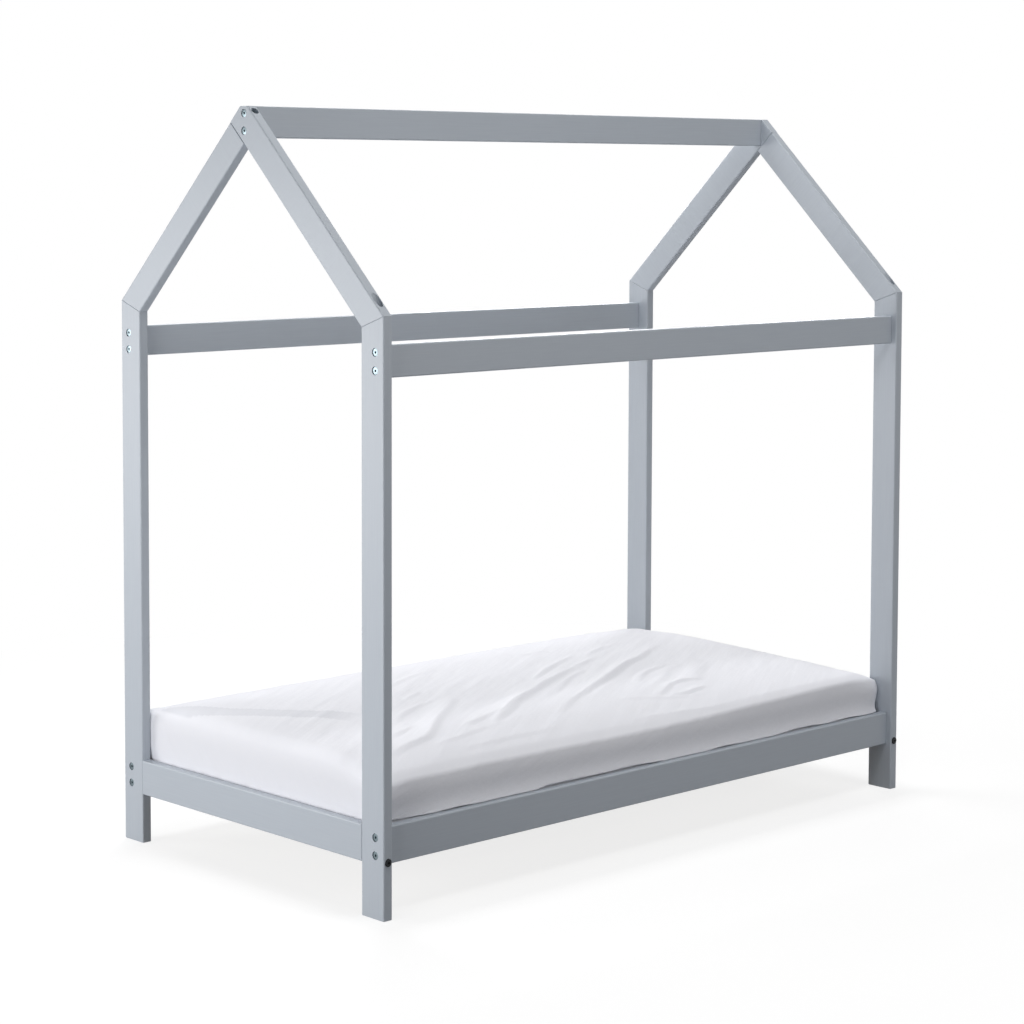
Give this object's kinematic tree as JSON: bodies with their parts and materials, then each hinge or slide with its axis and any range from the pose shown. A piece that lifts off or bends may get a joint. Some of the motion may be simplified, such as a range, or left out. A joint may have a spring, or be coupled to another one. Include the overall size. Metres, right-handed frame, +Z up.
{
  "type": "house toddler bed",
  "caption": "House-shaped toddler bed: two board gables with mitred rafters, rails, a ridge beam and a slatted base, with a mattress in a fitted sheet.",
  "frame": {"origin": "on the floor under the middle of the bed", "axes": "+X along the bed to its right gable as seen from the front, -Y out of the front long side, +Z up to the ridge"},
  "size_m": [1.44, 0.7854, 1.4263],
  "materials": {
    "paint": "light grey satin paint",
    "pine": "planed, bare",
    "zinc_steel": "zinc plated",
    "black_steel": "black oxide",
    "ticking": "woven",
    "cotton": "woven, matt"
  },
  "bodies": {
    "bed_frame": {"apex_bolt_left": "zinc_steel", "apex_bolt_right": "zinc_steel", "eaves_bolt_back_left": "zinc_steel", "eaves_bolt_back_right": "zinc_steel", "eaves_bolt_front_left": "zinc_steel", "eaves_bolt_front_right": "zinc_steel", "end_rail_bolt_back_left": "black_steel", "end_rail_bolt_back_right": "black_steel", "end_rail_bolt_front_left": "black_steel", "end_rail_bolt_front_right": "black_steel", "end_rail_left": "paint", "end_rail_right": "paint", "ledger_back": "pine", "ledger_front": "pine", "lower_rail_bolt_back_left_1": "zinc_steel", "lower_rail_bolt_back_left_2": "zinc_steel", "lower_rail_bolt_back_right_1": "zinc_steel", "lower_rail_bolt_back_right_2": "zinc_steel", "lower_rail_bolt_front_left_1": "zinc_steel", "lower_rail_bolt_front_left_2": "zinc_steel", "lower_rail_bolt_front_right_1": "zinc_steel", "lower_rail_bolt_front_right_2": "zinc_steel", "post_back_left": "paint", "post_back_right": "paint", "post_front_left": "paint", "post_front_right": "paint", "rafter_back_left": "paint", "rafter_back_right": "paint", "rafter_front_left": "paint", "rafter_front_right": "paint", "ridge_beam": "paint", "ridge_bolt_left_1": "zinc_steel", "ridge_bolt_left_2": "zinc_steel", "ridge_bolt_right_1": "zinc_steel", "ridge_bolt_right_2": "zinc_steel", "side_rail_back": "paint", "side_rail_front": "paint", "slat_01": "pine", "slat_02": "pine", "slat_03": "pine", "slat_04": "pine", "slat_05": "pine", "slat_06": "pine", "slat_07": "pine", "slat_08": "pine", "slat_09": "pine", "slat_10": "pine", "slat_11": "pine", "upper_rail_back": "paint", "upper_rail_bolt_back_left_1": "zinc_steel", "upper_rail_bolt_back_left_2": "zinc_steel", "upper_rail_bolt_back_right_1": "zinc_steel", "upper_rail_bolt_back_right_2": "zinc_steel", "upper_rail_bolt_front_left_1": "zinc_steel", "upper_rail_bolt_front_left_2": "zinc_steel", "upper_rail_bolt_front_right_1": "zinc_steel", "upper_rail_bolt_front_right_2": "zinc_steel", "upper_rail_front": "paint"},
    "bedding": {"mattress": "ticking", "fitted_sheet": "cotton"}
  },
  "joints": [
    {"name": "mattress_lift", "type": "slide", "parent": "bed_frame", "child": "bedding", "axis": [0, 0, 1], "range_m": [0, 0.3]}
  ]
}
